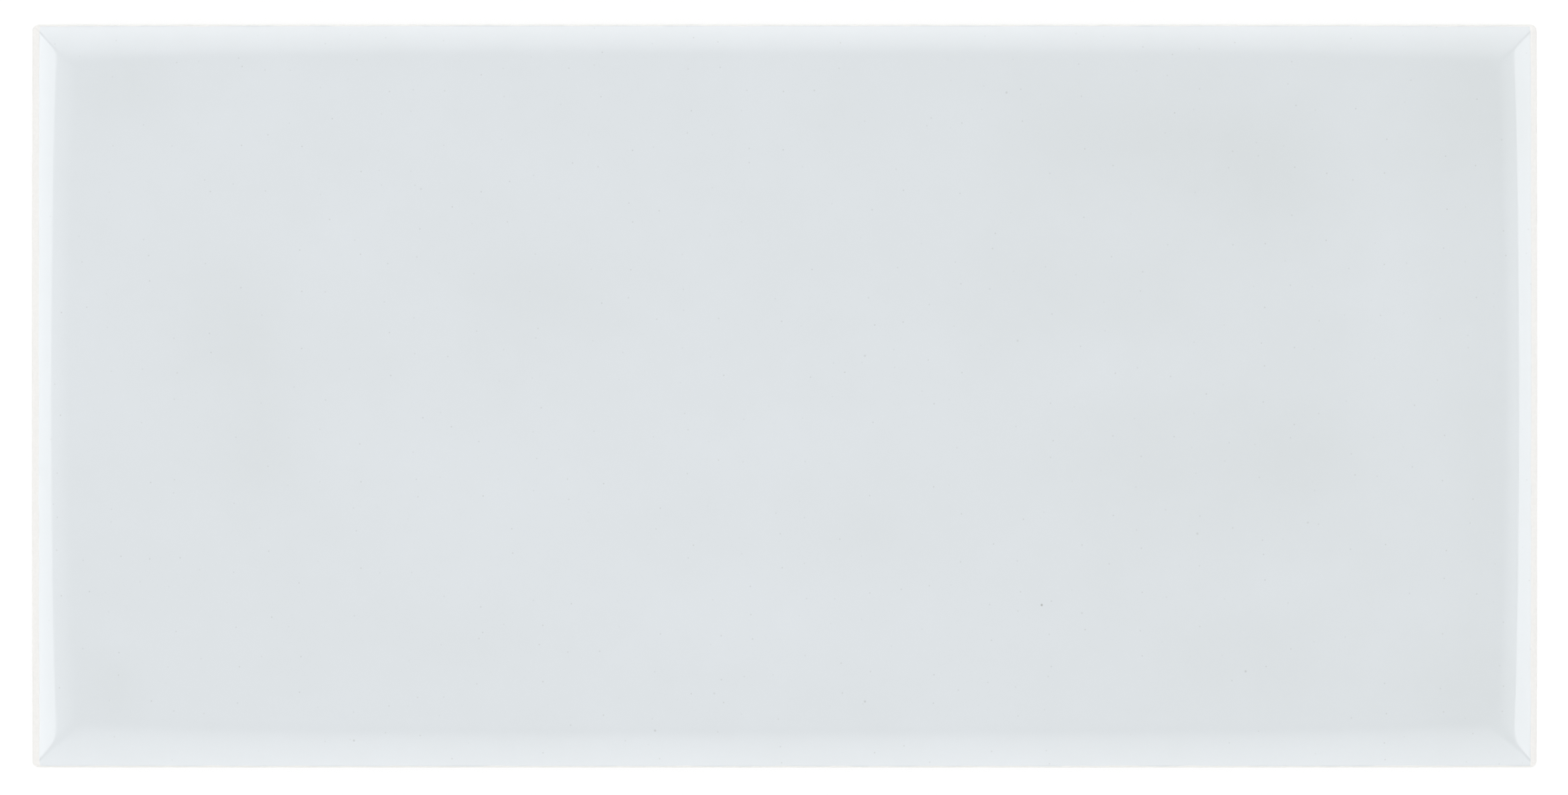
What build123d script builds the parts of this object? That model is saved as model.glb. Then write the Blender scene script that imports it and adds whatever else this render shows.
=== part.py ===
from build123d import *
from math import floor, radians, tan
import os

# A glazed ceramic field tile, pressed and fired as one piece.
# It lies on its back: +Z leaves the glazed face, +X runs along the length,
# and the origin is the middle of the back.

# Driving dimensions, in millimetres and degrees
TILE_LENGTH = 150.8  # 5 15/16 in: a nominal 6 in less the joint
TILE_WIDTH = 74.6  # 2 15/16 in: a nominal 3 in less the joint
TILE_THICKNESS = 8.0  # about 5/16 in, as wall tile is pressed
CORNER_RADIUS = 0.8  # the plan's four corners
SIDE_DRAFT = 2.0  # lean of the sides, which frees the tile from its die
BACK_ARRIS = 0.4  # small bevel round the back
CUSHION_RUN = 4.8  # how far the rounded edge reaches in over the face
CUSHION_DROP = 1.8  # how far the rounded edge falls to the side
KEY_WIDTH = 3.0  # one keying groove of the back
KEY_DEPTH = 0.7
KEY_PITCH = 8.0
KEY_BORDER = 9.0  # plain margin round the keyed field

ARRIS_LEAN = 45.0  # the bevel's angle to the back

# The cushion edge is an arc that leaves the face smoothly and meets the side at the shoulder
SHOULDER_HEIGHT = TILE_THICKNESS - CUSHION_DROP
SHOULDER_INSET = (SHOULDER_HEIGHT - BACK_ARRIS) * tan(radians(SIDE_DRAFT))
CUSHION_RADIUS = (CUSHION_RUN**2 + CUSHION_DROP**2) / (2 * CUSHION_DROP)


def pressed_blank():
    """The tile before its face is rounded: drafted sides, round corners and a bevelled back."""
    widest = Pos(Z=BACK_ARRIS) * RectangleRounded(TILE_LENGTH, TILE_WIDTH, CORNER_RADIUS)
    sides = extrude(widest, TILE_THICKNESS - BACK_ARRIS, taper=SIDE_DRAFT)
    bevel = extrude(widest, -BACK_ARRIS, taper=ARRIS_LEAN)
    return sides + bevel


def rounded_span(span):
    """The length of a block whose rounded edges leave the flat of the face as wide as the tile's."""
    flat = span - 2 * (SHOULDER_INSET + CUSHION_RUN)
    return flat + 2 * CUSHION_RADIUS


def cushion_block(length, width, edge_axis):
    """A block up to the face, with the two top edges along one axis rounded by the cushion's radius."""
    height = TILE_THICKNESS + CUSHION_RADIUS
    block = Pos(Z=TILE_THICKNESS) * Box(length, width, height, align=(Align.CENTER, Align.CENTER, Align.MAX))
    top_edges = block.faces().sort_by(Axis.Z)[-1].edges().filter_by(edge_axis)
    return fillet(top_edges, CUSHION_RADIUS)


def back_keys():
    """The straight round-ended grooves that key the back into its adhesive."""
    field_length = TILE_LENGTH - 2 * KEY_BORDER
    field_width = TILE_WIDTH - 2 * KEY_BORDER
    count = 1 + floor((field_width - KEY_WIDTH) / KEY_PITCH)
    groove = extrude(SlotOverall(field_length, KEY_WIDTH), KEY_DEPTH)
    return GridLocations(0, KEY_PITCH, 1, count) * groove


def field_tile():
    """The whole tile: the blank under two crossed cushion blocks, with its back keyed."""
    end_edges = cushion_block(rounded_span(TILE_LENGTH), 2 * TILE_WIDTH, Axis.Y)
    long_edges = cushion_block(2 * TILE_LENGTH, rounded_span(TILE_WIDTH), Axis.X)
    return (pressed_blank() & end_edges & long_edges) - back_keys()


os.makedirs("parts", exist_ok=True)
export_step(field_tile(), "parts/field_tile.step")
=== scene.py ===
"""The looks of a glazed ceramic field tile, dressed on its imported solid.

The tile lies on its back with the glazed face up. Lengths are in metres, in the part's own frame: the
origin is the middle of the back, +X runs along the length, +Y across the width and +Z out of the face.
"""

import logging
import math
from dataclasses import dataclass, field, replace
from enum import Enum
from typing import Any, Optional, Union

import bmesh
import bpy
import numpy as np
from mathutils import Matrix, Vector
from mathutils.geometry import tessellate_polygon


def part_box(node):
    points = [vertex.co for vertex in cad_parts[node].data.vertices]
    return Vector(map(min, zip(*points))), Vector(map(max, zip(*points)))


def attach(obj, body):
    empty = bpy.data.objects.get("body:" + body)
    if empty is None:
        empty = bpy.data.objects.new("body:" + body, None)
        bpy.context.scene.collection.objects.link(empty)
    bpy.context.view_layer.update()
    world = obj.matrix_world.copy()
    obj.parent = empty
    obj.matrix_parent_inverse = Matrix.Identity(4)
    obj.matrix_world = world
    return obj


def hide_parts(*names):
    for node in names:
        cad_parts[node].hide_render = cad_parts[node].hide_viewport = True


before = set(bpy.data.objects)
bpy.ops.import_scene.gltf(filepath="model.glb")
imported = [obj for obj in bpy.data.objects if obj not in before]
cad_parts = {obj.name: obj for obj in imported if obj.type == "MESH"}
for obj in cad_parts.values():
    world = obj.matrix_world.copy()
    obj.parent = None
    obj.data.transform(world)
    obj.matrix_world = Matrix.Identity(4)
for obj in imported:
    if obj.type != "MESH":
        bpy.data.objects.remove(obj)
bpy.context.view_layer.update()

TILE_NODE = "field_tile"
BODY = "root"
MM = 0.001
IN_PLAN = (1, 1, 0)

# Nearly all values of a noise lie between these
NOISE_LOW = 0.25
NOISE_HIGH = 0.75

# A mix node has sockets of the same name for each kind of value, so they go by number
MIX_FLOAT_A = 2
MIX_FLOAT_B = 3
MIX_COLOUR_A = 6
MIX_COLOUR_B = 7
MIX_COLOUR_OUT = 2

log = logging.getLogger("field_tile")

Colour = tuple[float, float, float, float]
Socket = Union[str, int]


def linear(code: str) -> Colour:
    """Turn an sRGB hex colour into the linear colour that a shader takes.

    Args:
        code: Six hex digits, with or without a leading hash.

    Returns:
        Linear red, green, blue and an alpha of 1.
    """
    digits = code.lstrip("#")
    srgb = [int(digits[i:i + 2], 16) / 255 for i in (0, 2, 4)]
    toe = [v / 12.92 if v <= 0.04045 else ((v + 0.055) / 1.055) ** 2.4 for v in srgb]
    return (toe[0], toe[1], toe[2], 1.0)


def add_node(
    tree: bpy.types.NodeTree,
    kind: str,
    sockets: Optional[dict[Socket, Any]] = None,
    **settings: Any,
) -> bpy.types.Node:
    """Add a node with its settings, and fill its sockets with values or links.

    Args:
        tree: The node tree that the node joins.
        kind: Blender's name for the node's type.
        sockets: Input socket, by name or number, to a value or to the output that feeds it.
        **settings: The node's own properties.

    Returns:
        The new node.
    """
    node = tree.nodes.new(kind)
    for name, value in settings.items():
        setattr(node, name, value)
    for socket, value in (sockets or {}).items():
        if isinstance(value, bpy.types.NodeSocket):
            tree.links.new(value, node.inputs[socket])
        else:
            node.inputs[socket].default_value = value
    return node


def new_tree(holder: Union[bpy.types.Material, bpy.types.World]) -> bpy.types.NodeTree:
    """Give a material or a world an empty node tree.

    Args:
        holder: The material or world.

    Returns:
        Its node tree, with nothing in it.
    """
    holder.use_nodes = True
    holder.node_tree.nodes.clear()
    return holder.node_tree


def per_metre(size: float) -> float:
    """The texture scale at which one cell of a pattern has this size in metres."""
    return 1.0 / size


def add_object(name: str, mesh: bpy.types.Mesh) -> bpy.types.Object:
    """Link a new object for a mesh into the scene.

    Args:
        name: The object's name.
        mesh: Its mesh.

    Returns:
        The object.
    """
    made = bpy.data.objects.new(name, mesh)
    bpy.context.scene.collection.objects.link(made)
    return made


class Tint(Enum):
    """The colours of the tile, as sRGB hex."""

    GLAZE_PALE = "E1E6EA"
    GLAZE_DEEP = "D8DDDF"
    SPECK = "A9ACAB"
    BISQUE = "F6F5F3"
    BISQUE_SHADE = "EDECE9"


@dataclass(frozen=True)
class Cloud:
    """A soft patch where the fired glaze is a touch deeper, or paler where its depth is below zero."""

    x: float
    y: float
    reach_x: float
    reach_y: float
    depth: float


@dataclass(frozen=True)
class Speck:
    """A pinprick of iron or ash in the glaze, placed in millimetres."""

    x: float
    y: float
    strength: float


@dataclass(frozen=True)
class GlossGlaze:
    """Gloss glaze, sprayed on a pressed white body and fired to glass.

    It gives the eye a wet, mirror-like skin over a faintly clouded pale grey, with a few pinprick specks.
    It stops short of the arris, where the dry, chalky white bisque shows as a thin line.
    """

    glaze_roughness: float = 0.04
    bisque_roughness: float = 0.85
    ior: float = 1.52
    cloud_size: float = 11 * MM
    cloud_strength: float = 0.09
    fine_cloud_size: float = 3.2 * MM
    fine_cloud_strength: float = 0.06
    cloud_detail: float = 3.0
    speck_radius: float = 0.16 * MM
    speck_core: float = 0.3
    specks: tuple[Speck, ...] = (
        Speck(25.6, -20.8, 0.90),
        Speck(45.9, -27.4, 0.45),
        Speck(8.0, -30.4, 0.40),
        Speck(22.1, 30.2, 0.35),
        Speck(41.1, -13.7, 0.35),
        Speck(8.0, 4.0, 0.28),
        Speck(-42.9, -34.3, 0.40),
        Speck(-12.9, -33.3, 0.40),
        Speck(23.2, 5.5, 0.25),
        Speck(-36.2, 20.6, 0.22),
        Speck(52.1, -12.6, 0.22),
        Speck(29.6, -21.6, 0.22),
        Speck(-7.0, -29.6, 0.22),
    )
    pinhole_spacing: float = 3.0 * MM
    pinhole_radius: float = 0.11 * MM
    pinhole_strength: float = 0.35
    pinhole_free: float = 0.35
    edge_wander: float = 0.10 * MM
    edge_wander_size: float = 2.6 * MM
    edge_wander_detail: float = 2.0
    edge_fade: float = 0.05 * MM
    ripple_size: float = 2.4 * MM
    ripple_height: float = 0.0012 * MM
    ripple_detail: float = 1.0
    grit_size: float = 0.35 * MM
    grit_height: float = 0.012 * MM
    grit_detail: float = 4.0

    def speck_mask(self, tree: bpy.types.NodeTree, place: bpy.types.NodeSocket) -> bpy.types.NodeSocket:
        """Mark the specks: the few that show, each a dot of its own, among fainter pinholes.

        Args:
            tree: The material's tree.
            place: The point on the tile.

        Returns:
            An output that is a speck's strength at its middle and 0 outside.
        """
        plan = add_node(tree, "ShaderNodeVectorMath", {0: place, 1: IN_PLAN}, operation="MULTIPLY")
        flat = plan.outputs[0]
        grains = add_node(tree, "ShaderNodeTexVoronoi", {
            "Vector": flat, "Scale": per_metre(self.pinhole_spacing)}, voronoi_dimensions="2D")
        draw = add_node(tree, "ShaderNodeSeparateColor", {0: grains.outputs["Color"]}).outputs["Red"]
        strength = add_node(tree, "ShaderNodeMapRange", {
            "Value": draw, "From Min": self.pinhole_free, "To Max": self.pinhole_strength}).outputs[0]
        reach = self.pinhole_radius / self.pinhole_spacing
        mask = add_node(tree, "ShaderNodeMapRange", {
            "Value": grains.outputs["Distance"], "From Min": self.speck_core * reach, "From Max": reach,
            "To Min": strength, "To Max": 0.0}).outputs[0]
        for speck in self.specks:
            middle = (speck.x * MM, speck.y * MM, 0)
            away = add_node(tree, "ShaderNodeVectorMath", {0: flat, 1: middle}, operation="DISTANCE")
            dot = add_node(tree, "ShaderNodeMapRange", {
                "Value": away.outputs["Value"], "From Min": self.speck_core * self.speck_radius,
                "From Max": self.speck_radius, "To Min": speck.strength, "To Max": 0.0})
            both = add_node(tree, "ShaderNodeMath", {0: mask, 1: dot.outputs[0]}, operation="MAXIMUM")
            mask = both.outputs[0]
        return mask

    def make(self) -> bpy.types.Material:
        """Build the material.

        Returns:
            One Principled material: glaze where the tile's glaze_margin is above zero, bisque elsewhere.
        """
        material = bpy.data.materials.new("gloss_glaze_on_white_bisque")
        tree = new_tree(material)
        place = add_node(tree, "ShaderNodeTexCoord").outputs["Object"]

        # The glaze line wanders a little, as a sprayed edge does
        margin = add_node(tree, "ShaderNodeAttribute", attribute_name="glaze_margin").outputs["Fac"]
        wander = add_node(tree, "ShaderNodeTexNoise", {
            "Vector": place, "Scale": per_metre(self.edge_wander_size), "Detail": self.edge_wander_detail})
        shift = add_node(tree, "ShaderNodeMapRange", {
            "Value": wander.outputs["Fac"], "To Min": -self.edge_wander, "To Max": self.edge_wander})
        line = add_node(tree, "ShaderNodeMath", {0: margin, 1: shift.outputs[0]}, operation="ADD")
        glazed = add_node(tree, "ShaderNodeMapRange", {
            "Value": line.outputs[0], "From Min": -self.edge_fade, "From Max": self.edge_fade}).outputs[0]

        # Clouds: broad ones placed one by one, with softer ones of noise among them
        depth = add_node(tree, "ShaderNodeAttribute", attribute_name="glaze_cloud").outputs["Fac"]
        for size, strength in (
            (self.cloud_size, self.cloud_strength),
            (self.fine_cloud_size, self.fine_cloud_strength),
        ):
            noise = add_node(tree, "ShaderNodeTexNoise", {
                "Vector": place, "Scale": per_metre(size), "Detail": self.cloud_detail})
            swing = add_node(tree, "ShaderNodeMapRange", {
                "Value": noise.outputs["Fac"], "From Min": NOISE_LOW, "From Max": NOISE_HIGH,
                "To Min": -strength, "To Max": strength})
            deeper = add_node(tree, "ShaderNodeMath", {0: depth, 1: swing.outputs[0]}, operation="ADD")
            depth = deeper.outputs[0]
        clouded = add_node(tree, "ShaderNodeMix", {
            "Factor": depth, MIX_COLOUR_A: linear(Tint.GLAZE_PALE.value),
            MIX_COLOUR_B: linear(Tint.GLAZE_DEEP.value)}, data_type="RGBA").outputs[MIX_COLOUR_OUT]
        glaze = add_node(tree, "ShaderNodeMix", {
            "Factor": self.speck_mask(tree, place), MIX_COLOUR_A: clouded,
            MIX_COLOUR_B: linear(Tint.SPECK.value)}, data_type="RGBA").outputs[MIX_COLOUR_OUT]

        # The bare body is dry and slightly gritty
        grit = add_node(tree, "ShaderNodeTexNoise", {
            "Vector": place, "Scale": per_metre(self.grit_size), "Detail": self.grit_detail}).outputs["Fac"]
        bisque = add_node(tree, "ShaderNodeMix", {
            "Factor": grit, MIX_COLOUR_A: linear(Tint.BISQUE.value),
            MIX_COLOUR_B: linear(Tint.BISQUE_SHADE.value)}, data_type="RGBA").outputs[MIX_COLOUR_OUT]

        colour = add_node(tree, "ShaderNodeMix", {
            "Factor": glazed, MIX_COLOUR_A: bisque, MIX_COLOUR_B: glaze}, data_type="RGBA")
        roughness = add_node(tree, "ShaderNodeMapRange", {
            "Value": glazed, "To Min": self.bisque_roughness, "To Max": self.glaze_roughness})

        # The glaze's surface ripples faintly, and the bisque's is grainy
        ripple = add_node(tree, "ShaderNodeTexNoise", {
            "Vector": place, "Scale": per_metre(self.ripple_size), "Detail": self.ripple_detail,
        }).outputs["Fac"]
        swell = add_node(tree, "ShaderNodeMath", {0: ripple, 1: self.ripple_height}, operation="MULTIPLY")
        rough = add_node(tree, "ShaderNodeMath", {0: grit, 1: self.grit_height}, operation="MULTIPLY")
        height = add_node(tree, "ShaderNodeMix", {
            "Factor": glazed, MIX_FLOAT_A: rough.outputs[0], MIX_FLOAT_B: swell.outputs[0],
        }, data_type="FLOAT")
        bump = add_node(tree, "ShaderNodeBump", {
            "Height": height.outputs[0], "Strength": 1.0, "Distance": 1.0})

        shader = add_node(tree, "ShaderNodeBsdfPrincipled", {
            "Base Color": colour.outputs[MIX_COLOUR_OUT], "Roughness": roughness.outputs[0],
            "Normal": bump.outputs[0], "IOR": self.ior})
        add_node(tree, "ShaderNodeOutputMaterial", {"Surface": shader.outputs[0]})
        return material


@dataclass(frozen=True)
class Swell:
    """One slow wave that firing leaves in the face, with its length in millimetres."""

    span: float
    heading: float
    phase: float


@dataclass
class FieldTile:
    """The pressed tile: cushion edges, rounded arris, drafted sides, bevelled and keyed back.

    The cushions are a little larger toward the corners. They meet in crisp mitres at the far corners, and
    at the near ones in mitres that are soft on the face and sharpen toward their tips.
    """

    length: float
    width: float
    thickness: float
    corner_radius: float = 0.8 * MM
    side_draft: float = math.radians(2.0)
    back_arris: float = 0.4 * MM
    cushion_run: float = 4.8 * MM
    cushion_drop: float = 1.8 * MM
    corner_swell: float = 0.36
    swell_reach: float = 15 * MM
    crisp_mitre: float = 120.0
    soft_mitre: float = 3.0
    mitre_onset: float = 2.6
    least_depth: float = 0.09 * MM
    arris_reach: float = 0.16 * MM
    arris_fall: float = 0.28 * MM
    key_width: float = 3.0 * MM
    key_depth: float = 0.7 * MM
    key_pitch: float = 8.0 * MM
    key_border: float = 9.0 * MM
    glaze_gap_left: float = 0.98 * MM
    glaze_gap_right: float = 0.90 * MM
    glaze_gap_side: float = 0.37 * MM
    wave_height: float = 0.030 * MM
    sharp_angle: float = math.radians(35)
    finest_step: float = 0.09 * MM
    widest_step: float = 1.20 * MM
    step_growth: float = 1.045
    corner_steps: int = 10
    rim_steps: int = 4
    arris_steps: int = 6
    side_steps: int = 4
    key_end_steps: int = 14
    swells: tuple[Swell, ...] = (
        Swell(41, 0.4, 0.3),
        Swell(33, 1.9, 2.1),
        Swell(27, 1.2, 4.4),
        Swell(22, 2.6, 1.0),
    )
    clouds: tuple[Cloud, ...] = (
        Cloud(58, 8, 30, 48, 0.25),
        Cloud(-66, 31, 4.5, 3, 0.24),
        Cloud(-56, 7, 5, 6, 0.26),
        Cloud(-52, -3, 4, 8, 0.28),
        Cloud(-24, 10.5, 7, 5, 0.26),
        Cloud(5, 28, 5, 4, 0.16),
        Cloud(32, 26, 12, 6, 0.34),
        Cloud(48, 22, 7, 8, 0.32),
        Cloud(25, 11, 12, 7, 0.20),
        Cloud(69, 29, 7, 7, 0.42),
        Cloud(38, -6, 10, 7, 0.18),
        Cloud(51, -6, 6, 4.5, 0.26),
        Cloud(69.2, -9, 2.4, 15, 0.18),
        Cloud(69, -30, 5, 6, 0.30),
        Cloud(44, -26, 9, 5, 0.18),
        Cloud(8, -14, 4, 3, 0.14),
        Cloud(-67, -29, 4.5, 3.5, 0.22),
        Cloud(-32, -24, 10, 3.5, 0.10),
        Cloud(60, 9, 5, 11, -0.18),
        Cloud(32, 3, 11, 4, -0.20),
        Cloud(52, -19, 7, 3, -0.14),
        Cloud(-42, 17, 8, 7, -0.12),
        Cloud(-33, -8, 16, 9, -0.12),
        Cloud(-2, -4, 12, 4, -0.08),
        Cloud(-15, -18, 8, 5, -0.12),
        Cloud(1, -23, 15, 5, -0.12),
        Cloud(-67, -2, 5, 6, -0.06),
    )
    base_cloud: float = 0.42
    body: Optional[bpy.types.Object] = field(default=None, init=False)

    @classmethod
    def of_node(cls, node: str) -> "FieldTile":
        """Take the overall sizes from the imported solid.

        Args:
            node: The solid's name.

        Returns:
            A tile as large as that solid.
        """
        low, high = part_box(node)
        size = high - low
        return cls(length=size.x, width=size.y, thickness=size.z)

    @property
    def shoulder_inset(self) -> float:
        """How far the drafted side has leaned in at the shoulder."""
        return (self.thickness - self.cushion_drop - self.back_arris) * math.tan(self.side_draft)

    @property
    def cushion_radius(self) -> float:
        """The radius of the arc that leaves the face smoothly and reaches the shoulder."""
        return (self.cushion_run ** 2 + self.cushion_drop ** 2) / (2 * self.cushion_drop)

    def cushion_depth(self, gap: np.ndarray, swell: np.ndarray) -> np.ndarray:
        """How far the cushion's arc has fallen below the face.

        Args:
            gap: Distance in from the shoulder.
            swell: Times by which the whole cushion is larger here.

        Returns:
            The depth below the face, at each place.
        """
        along = np.clip(self.cushion_run - gap / swell, 0.0, self.cushion_run)
        return swell * (self.cushion_radius - np.sqrt(self.cushion_radius ** 2 - along ** 2))

    def waves(self, x: np.ndarray, y: np.ndarray) -> np.ndarray:
        """The slow swell that firing leaves in the face.

        Args:
            x: Places along the length.
            y: Places across the width.

        Returns:
            Depth below a true plane, from 0 to about wave_height.
        """
        total = np.zeros_like(x)
        for swell in self.swells:
            along = (x * math.cos(swell.heading) + y * math.sin(swell.heading)) / (swell.span * MM)
            total += np.sin(2 * math.pi * along + swell.phase)
        return self.wave_height * (1 + total / len(self.swells)) / 2

    def face_height(self, x: np.ndarray, y: np.ndarray) -> np.ndarray:
        """The height of the glazed face and its cushion edges.

        Args:
            x: Places along the length.
            y: Places across the width.

        Returns:
            Height above the back.
        """
        end_gap = self.length / 2 - self.shoulder_inset - np.abs(x)
        side_gap = self.width / 2 - self.shoulder_inset - np.abs(y)
        end_swell = 1 + self.corner_swell * np.exp(-side_gap / self.swell_reach)
        side_swell = 1 + self.corner_swell * np.exp(-end_gap / self.swell_reach)
        end_depth = self.cushion_depth(end_gap, end_swell)
        side_depth = self.cushion_depth(side_gap, side_swell)

        # A power mean joins the two cushions: the higher its power, the crisper their mitre
        deeper = np.maximum(np.maximum(end_depth, side_depth), self.least_depth)
        toward_tip = deeper / (self.cushion_drop * (1 + self.corner_swell))
        near_mitre = self.soft_mitre + (self.crisp_mitre - self.soft_mitre) * toward_tip ** self.mitre_onset
        power = np.where(y > 0, self.crisp_mitre, near_mitre)
        fall = deeper * ((end_depth / deeper) ** power + (side_depth / deeper) ** power) ** (1 / power)
        return self.thickness - fall - self.waves(x, y)

    def grid_lines(self, half: float) -> np.ndarray:
        """Places of the face's grid lines along one axis, close at the edges and wider inside.

        Args:
            half: Half the grid's extent.

        Returns:
            Rising places from -half to half.
        """
        places, step = [half], self.finest_step
        while places[-1] > step / 2:
            places.append(places[-1] - step)
            step = min(step * self.step_growth, self.widest_step)
        stretch = half / (half - places[-1])
        inner = [half - (half - p) * stretch for p in places]
        inner[-1] = 0.0
        return np.array([-p for p in inner] + inner[-2::-1])

    def key_loops(self) -> list[np.ndarray]:
        """The outlines of the back's grooves, straight with round ends.

        Returns:
            One loop of plan points for each groove.
        """
        run = self.length / 2 - self.key_border - self.key_width / 2
        field_width = self.width - 2 * self.key_border - self.key_width
        count = 1 + math.floor(field_width / self.key_pitch)
        turn = np.linspace(-math.pi / 2, math.pi / 2, self.key_end_steps + 1)
        end = np.stack([run + self.key_width / 2 * np.cos(turn), self.key_width / 2 * np.sin(turn)], axis=1)
        loop = np.concatenate([end, -end])
        rows = (np.arange(count) - (count - 1) / 2) * self.key_pitch
        return [loop + (0, row) for row in rows]

    def rim(self, columns: np.ndarray, rows: np.ndarray) -> tuple[np.ndarray, np.ndarray, np.ndarray]:
        """Walk round the face's grid, fanning out at the corners.

        Args:
            columns: The grid's places along the length.
            rows: The grid's places across the width.

        Returns:
            For each point of the walk, the grid point's number, its plan place and the way out of the tile.
        """
        n_x, n_y = len(columns), len(rows)
        numbers = np.arange(n_x * n_y).reshape(n_x, n_y)
        walks = (numbers[-1, :], numbers[::-1, -1], numbers[0, ::-1], numbers[:, 0])
        roots, turns = [], []
        for quarter, walk in enumerate(walks):
            heading = quarter * math.pi / 2
            roots.extend(walk)
            turns.extend([heading] * len(walk))
            fan = np.arange(1, self.corner_steps) / self.corner_steps * math.pi / 2
            roots.extend([walk[-1]] * len(fan))
            turns.extend(heading + fan)
        root = np.array(roots)
        place = np.stack([columns[root // n_y], rows[root % n_y]], axis=1)
        out = np.stack([np.cos(turns), np.sin(turns)], axis=1)
        return root, place, out

    def rings(self, place: np.ndarray, out: np.ndarray) -> list[np.ndarray]:
        """The rings of points from the face's grid, over the arris and down the side to the back.

        Args:
            place: Plan places that the rings grow from.
            out: The way out of the tile at each.

        Returns:
            One array of points for each ring, from the top down.
        """
        edge = place + out * self.corner_radius

        def at(inset: np.ndarray, height: np.ndarray) -> np.ndarray:
            """Points that lie this far in from the widest outline, at this height."""
            plan = edge - out * np.reshape(inset, (-1, 1))
            return np.column_stack([plan, np.broadcast_to(height, len(plan))])

        def on_face(inset: float) -> np.ndarray:
            """The face's height at this distance in from the widest outline."""
            plan = edge - out * inset
            return self.face_height(plan[:, 0], plan[:, 1])

        lean = math.tan(self.side_draft)
        start = self.shoulder_inset + self.arris_reach
        rim_insets = np.linspace(self.corner_radius, start, self.rim_steps + 1)[1:]
        made = [at(inset, on_face(inset)) for inset in rim_insets]
        apex = on_face(self.shoulder_inset)
        foot = apex - self.arris_fall
        for t in np.arange(1, self.arris_steps + 1) / self.arris_steps:
            weights = ((1 - t) ** 2, 2 * t * (1 - t), t ** 2)
            insets = (start, self.shoulder_inset, (foot - self.back_arris) * lean)
            heights = (on_face(start), apex, foot)
            inset = sum(w * i for w, i in zip(weights, insets))
            height = sum(w * h for w, h in zip(weights, heights))
            made.append(at(np.broadcast_to(inset, len(edge)), height))
        for t in np.arange(1, self.side_steps + 1) / self.side_steps:
            height = foot + (self.back_arris - foot) * t
            made.append(at((height - self.back_arris) * lean, height))
        made.append(at(np.full(len(edge), self.back_arris), np.zeros(len(edge))))
        return made

    def build(self) -> bpy.types.Object:
        """Make the tile's closed mesh and its object.

        Returns:
            The object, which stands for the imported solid.
        """
        half_x = self.length / 2 - self.corner_radius
        half_y = self.width / 2 - self.corner_radius
        columns, rows = self.grid_lines(half_x), self.grid_lines(half_y)
        x, y = (a.ravel() for a in np.meshgrid(columns, rows, indexing="ij"))
        points = [np.column_stack([x, y, self.face_height(x, y)])]
        numbers = np.arange(len(x)).reshape(len(columns), len(rows))
        corners = (numbers[:-1, :-1], numbers[1:, :-1], numbers[1:, 1:], numbers[:-1, 1:])
        faces = np.stack([c.ravel() for c in corners], axis=1).tolist()

        root, place, out = self.rim(columns, rows)
        upper = root
        total = len(x)
        for ring in self.rings(place, out):
            lower = total + np.arange(len(ring))
            for i in range(len(ring)):
                j = (i + 1) % len(ring)
                loop = [upper[i], lower[i], lower[j], upper[j]]
                faces.append(loop[:3] if upper[i] == upper[j] else loop)
            points.append(ring)
            upper = lower
            total += len(ring)
        back_loops = [upper]

        for loop in self.key_loops():
            count = len(loop)
            mouth, floor = total + np.arange(count), total + count + np.arange(count)
            points.append(np.column_stack([loop, np.zeros(count)]))
            points.append(np.column_stack([loop, np.full(count, self.key_depth)]))
            faces.extend([mouth[i], mouth[i - 1], floor[i - 1], floor[i]] for i in range(count))
            faces.append(floor[::-1].tolist())
            back_loops.append(mouth)
            total += 2 * count

        every = np.concatenate(points)
        order = np.concatenate(back_loops)
        outlines = [[Vector(every[i]) for i in loop] for loop in back_loops]
        for triangle in tessellate_polygon(outlines):
            a, b, c = (order[i] for i in triangle)
            turn = np.cross(every[b] - every[a], every[c] - every[a])[2]
            faces.append([a, b, c] if turn < 0 else [c, b, a])

        mesh = bpy.data.meshes.new("glazed_tile")
        mesh.from_pydata(every.tolist(), [], [[int(i) for i in f] for f in faces])
        mesh.validate()
        self.even_back(mesh)
        mesh.shade_smooth()
        mesh.set_sharp_from_angle(angle=self.sharp_angle)
        self.mark(mesh, every)
        self.body = add_object("glazed_tile", mesh)
        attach(self.body, BODY)
        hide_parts(TILE_NODE)
        return self.body

    @staticmethod
    def even_back(mesh: bpy.types.Mesh) -> None:
        """Turn the edges between the back's triangles until none of them is a sliver.

        Args:
            mesh: The tile's mesh.
        """
        shape = bmesh.new()
        shape.from_mesh(mesh)
        back = [f for f in shape.faces if all(v.co.z == 0 for v in f.verts)]
        members = set(back)
        inner = [e for e in shape.edges if len(e.link_faces) == 2 and members.issuperset(e.link_faces)]
        bmesh.ops.beautify_fill(shape, faces=back, edges=inner)
        shape.to_mesh(mesh)
        shape.free()

    def mark(self, mesh: bpy.types.Mesh, points: np.ndarray) -> None:
        """Store where the glaze reaches and how deep its clouds are, for the finish to read.

        Args:
            mesh: The tile's mesh.
            points: Its points, in order.
        """
        x, y = points[:, 0], points[:, 1]
        glaze_gap_end = np.where(x < 0, self.glaze_gap_left, self.glaze_gap_right)
        end_margin = self.length / 2 - np.abs(x) - glaze_gap_end
        side_margin = self.width / 2 - np.abs(y) - self.glaze_gap_side
        margin = np.minimum(end_margin, side_margin)
        cloud = np.full(len(points), self.base_cloud)
        for c in self.clouds:
            away = ((x / MM - c.x) / c.reach_x) ** 2 + ((y / MM - c.y) / c.reach_y) ** 2
            cloud += c.depth * np.exp(-away)
        for name, values in (("glaze_margin", margin), ("glaze_cloud", cloud)):
            store = mesh.attributes.new(name, "FLOAT", "POINT")
            store.data.foreach_set("value", values.astype(np.float32))

    def dress(self, finish: GlossGlaze) -> None:
        """Give the tile its finish.

        Args:
            finish: The glaze and the body under it.
        """
        self.body.data.materials.append(finish.make())


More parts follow.
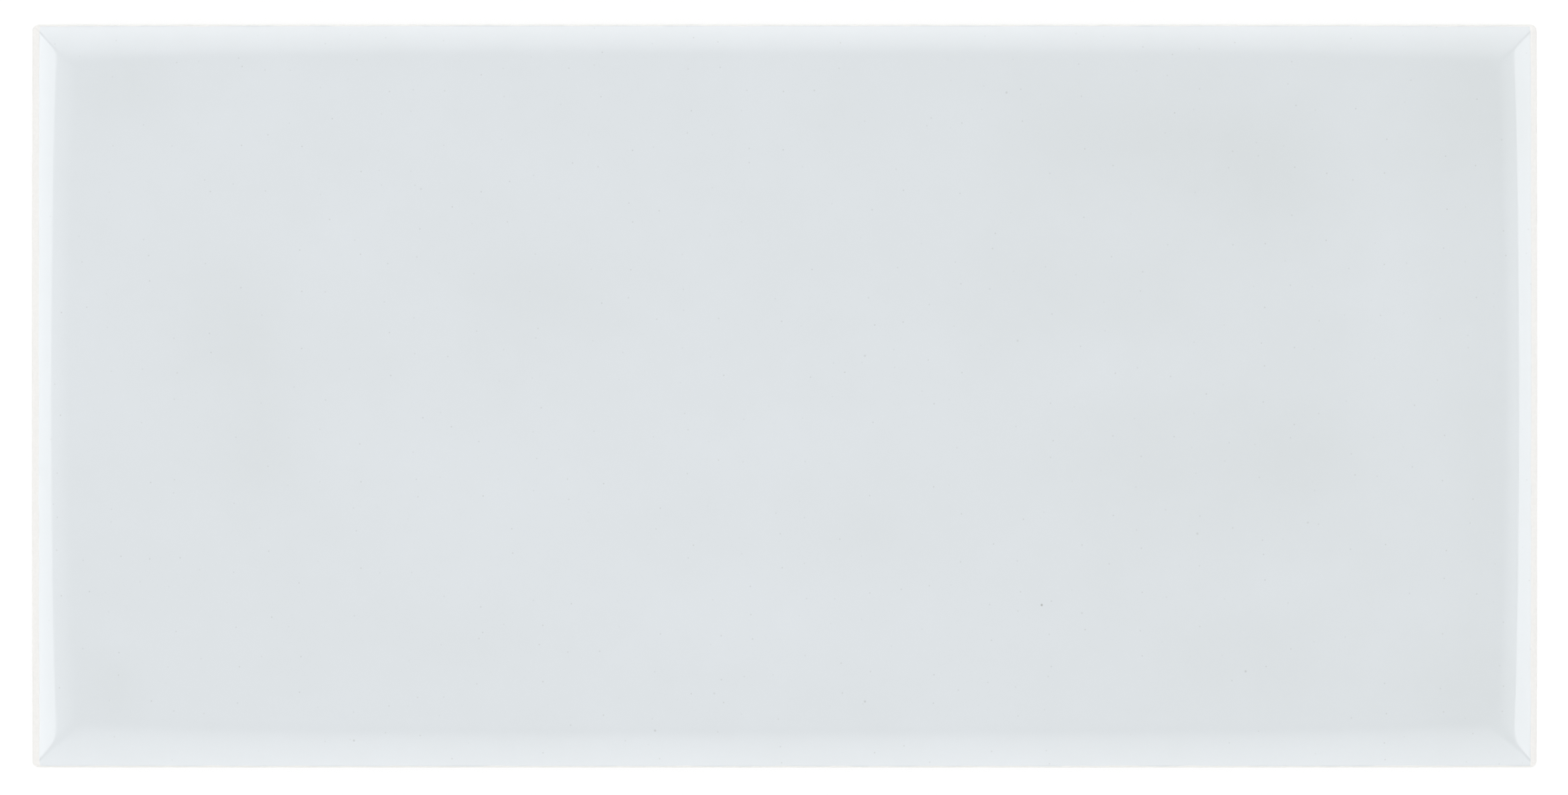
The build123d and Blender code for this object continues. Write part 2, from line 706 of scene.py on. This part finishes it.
class Side(Enum):
    """The side or corner of the tile that a light card stands off, as a way out from the tile in plan."""

    LEFT = (-1, 0)
    RIGHT = (1, 0)
    FAR = (0, 1)
    NEAR = (0, -1)
    FAR_LEFT = (-1, 1)
    FAR_RIGHT = (1, 1)
    NEAR_LEFT = (-1, -1)
    NEAR_RIGHT = (1, -1)


@dataclass(frozen=True)
class LightCard:
    """An upright soft light beside the tile, whose glow changes from its foot to its head."""

    name: str
    side: Side
    high: float
    foot: float
    head: float
    half_width: float
    low: float = 0.12
    away: float = 0.60

    def build(self) -> bpy.types.Object:
        """Stand the card up and light it.

        Returns:
            The card, which the camera doesn't see.
        """
        out = Vector((*self.side.value, 0)).normalized()
        along = Vector((-out.y, out.x, 0)) * self.half_width
        ends = [(out * self.away + along * turn).xy for turn in (-1, 1)]
        mesh = bpy.data.meshes.new(self.name)
        foot_line = [(*end, self.low) for end in ends]
        head_line = [(*end, self.high) for end in reversed(ends)]
        mesh.from_pydata(foot_line + head_line, [], [(0, 1, 2, 3)])
        card = add_object(self.name, mesh)
        material = bpy.data.materials.new(self.name)
        tree = new_tree(material)
        place = add_node(tree, "ShaderNodeTexCoord").outputs["Object"]
        height = add_node(tree, "ShaderNodeSeparateXYZ", {0: place}).outputs["Z"]
        strength = add_node(tree, "ShaderNodeMapRange", {
            "Value": height, "From Min": self.low, "From Max": self.high,
            "To Min": self.foot, "To Max": self.head}).outputs[0]
        glow = add_node(tree, "ShaderNodeEmission", {"Strength": strength})
        add_node(tree, "ShaderNodeOutputMaterial", {"Surface": glow.outputs[0]})
        mesh.materials.append(material)
        card.visible_camera = False
        return card


@dataclass
class Studio:
    """The pale floor, the light cards and the white surroundings."""

    floor_half: float = 3.0
    floor_drop: float = 0.05 * MM
    floor_tone: str = "D6D6D6"
    shadow_share: float = 0.30
    lift: float = 0.735
    shadow_reach: float = 0.30
    white_from: float = 0.50
    ambient: float = 0.278
    horizon: float = 1.0
    wall: float = 0.72
    ceiling: float = 0.28
    skirt_foot: float = math.radians(1.0)
    skirt_head: float = math.radians(3.0)
    cove_foot: float = math.radians(9.0)
    cove_head: float = math.radians(40.0)
    white: str = "FFFFFF"
    cards: tuple[LightCard, ...] = (
        LightCard("left_card", Side.LEFT, high=0.424, foot=3.95, head=3.25, half_width=0.20),
        LightCard("right_card", Side.RIGHT, high=0.391, foot=3.66, head=3.64, half_width=0.20),
        LightCard("left_fill", Side.LEFT, high=1.18, foot=1.54, head=0.40, half_width=0.20, low=0.424),
        LightCard("right_fill", Side.RIGHT, high=0.85, foot=1.77, head=0.70, half_width=0.20, low=0.391),
        LightCard("far_card", Side.FAR, high=1.00, foot=3.14, head=0.01, half_width=0.30, low=0.078),
        LightCard("near_card", Side.NEAR, high=1.60, foot=2.49, head=0.00, half_width=0.30, low=0.078),
    )
    corner_card: LightCard = LightCard(
        "corner_card", Side.FAR_LEFT, high=1.80, foot=1.30, head=0.20, half_width=0.50, low=0.45, away=0.85)
    corners: tuple[Side, ...] = (Side.FAR_LEFT, Side.FAR_RIGHT, Side.NEAR_RIGHT, Side.NEAR_LEFT)

    @staticmethod
    def seen(tree: bpy.types.NodeTree) -> bpy.types.NodeSocket:
        """Tell rays that show a surface, to the camera or in gloss or glass, from rays that only light it.

        Args:
            tree: The tree that asks.

        Returns:
            An output that is 1 for a ray that shows the surroundings.
        """
        path = add_node(tree, "ShaderNodeLightPath").outputs
        shown = path["Is Camera Ray"]
        for ray in ("Is Glossy Ray", "Is Transmission Ray"):
            either = add_node(tree, "ShaderNodeMath", {0: shown, 1: path[ray]}, operation="MAXIMUM")
            shown = either.outputs[0]
        return shown

    def build_floor(self) -> bpy.types.Object:
        """Lay the floor, which shows white and keeps a faint shadow round the tile.

        Returns:
            The floor.
        """
        half = self.floor_half
        mesh = bpy.data.meshes.new("floor")
        points = [(-half, -half, 0), (half, -half, 0), (half, half, 0), (-half, half, 0)]
        mesh.from_pydata(points, [], [(0, 1, 2, 3)])
        floor = add_object("floor", mesh)
        floor.location.z = -self.floor_drop
        material = bpy.data.materials.new("pale_floor")
        tree = new_tree(material)
        plain = add_node(tree, "ShaderNodeBsdfDiffuse", {"Color": linear(self.floor_tone)})

        # The shown floor takes shadow near the tile, and further out it is the white of the surroundings
        share = self.shadow_share
        matte = add_node(tree, "ShaderNodeBsdfDiffuse", {"Color": (share, share, share, 1.0)})
        glow = add_node(tree, "ShaderNodeEmission", {"Strength": self.lift})
        near = add_node(tree, "ShaderNodeAddShader", {0: matte.outputs[0], 1: glow.outputs[0]})
        white = add_node(tree, "ShaderNodeEmission", {"Strength": self.horizon})
        place = add_node(tree, "ShaderNodeTexCoord").outputs["Object"]
        away = add_node(tree, "ShaderNodeVectorMath", {0: place}, operation="LENGTH").outputs["Value"]
        beyond = add_node(tree, "ShaderNodeMapRange", {
            "Value": away, "From Min": self.shadow_reach, "From Max": self.white_from})
        shown = add_node(tree, "ShaderNodeMixShader", {
            0: beyond.outputs[0], 1: near.outputs[0], 2: white.outputs[0]})
        surface = add_node(tree, "ShaderNodeMixShader", {
            0: self.seen(tree), 1: plain.outputs[0], 2: shown.outputs[0]})
        add_node(tree, "ShaderNodeOutputMaterial", {"Surface": surface.outputs[0]})
        mesh.materials.append(material)
        return floor

    def build_world(self) -> bpy.types.World:
        """Surround the tile with white that dims above the horizon, and light it evenly.

        Returns:
            The world.
        """
        world = bpy.data.worlds.new("white_cove")
        tree = new_tree(world)

        # A ray's rise is the sine of its elevation
        ray = add_node(tree, "ShaderNodeTexCoord").outputs["Generated"]
        rise = add_node(tree, "ShaderNodeSeparateXYZ", {0: ray}).outputs["Z"]
        skirt = add_node(tree, "ShaderNodeMapRange", {
            "Value": rise, "From Min": math.sin(self.skirt_foot), "From Max": math.sin(self.skirt_head),
            "To Min": self.horizon, "To Max": self.wall})
        cove = add_node(tree, "ShaderNodeMapRange", {
            "Value": rise, "From Min": math.sin(self.cove_foot), "From Max": math.sin(self.cove_head),
            "To Min": skirt.outputs[0], "To Max": self.ceiling})
        strength = add_node(tree, "ShaderNodeMix", {
            "Factor": self.seen(tree), MIX_FLOAT_A: self.ambient, MIX_FLOAT_B: cove.outputs[0],
        }, data_type="FLOAT")
        back = add_node(tree, "ShaderNodeBackground", {
            "Color": linear(self.white), "Strength": strength.outputs[0]})
        add_node(tree, "ShaderNodeOutputWorld", {"Surface": back.outputs[0]})
        bpy.context.scene.world = world
        return world

    def build(self) -> None:
        """Set up the floor, the surroundings and every card."""
        log.info("floor: %s", self.build_floor().name)
        log.info("surroundings: %s", self.build_world().name)
        at_corners = [
            replace(self.corner_card, name=f"{side.name.lower()}_card", side=side) for side in self.corners]
        for card in (*self.cards, *at_corners):
            log.info("light: %s", card.build().name)
        bpy.context.scene.view_settings.view_transform = "Standard"


@dataclass
class OverheadCamera:
    """A long lens straight above the tile, framed as the photograph is."""

    frame_width: int = 2368
    frame_height: int = 1200
    tile_left: float = 47.8
    tile_right: float = 2322.0
    tile_top: float = 35.5
    tile_bottom: float = 1160.0
    lens: float = 135.0
    sensor: float = 36.0

    def build(self, tile: FieldTile) -> bpy.types.Object:
        """Hang the camera so that the tile's outline fills its place in the frame.

        Args:
            tile: The tile to frame.

        Returns:
            The camera, which is the scene's own.
        """
        data = bpy.data.cameras.new("overhead_camera")
        data.lens, data.sensor_width, data.sensor_fit = self.lens, self.sensor, "HORIZONTAL"
        rim_height = tile.thickness - tile.cushion_drop
        rim_length = tile.length - 2 * tile.shoulder_inset
        per_pixel = rim_length / (self.tile_right - self.tile_left)
        distance = per_pixel * self.frame_width * self.lens / self.sensor
        camera = bpy.data.objects.new("overhead_camera", data)
        bpy.context.scene.collection.objects.link(camera)
        camera.location = (
            (self.frame_width / 2 - (self.tile_left + self.tile_right) / 2) * per_pixel,
            ((self.tile_top + self.tile_bottom) / 2 - self.frame_height / 2) * per_pixel,
            rim_height + distance,
        )
        bpy.context.scene.camera = camera
        return camera


def main() -> None:
    """Build the tile, its studio and the camera, in that order."""
    logging.basicConfig(level=logging.INFO, format="%(name)s %(message)s")
    tile = FieldTile.of_node(TILE_NODE)
    piece = tile.build()
    tile.dress(GlossGlaze())
    log.info("piece: %s, %d faces", piece.name, len(piece.data.polygons))
    Studio().build()
    log.info("camera: %s", OverheadCamera().build(tile).name)


if __name__ == "__main__":
    main()
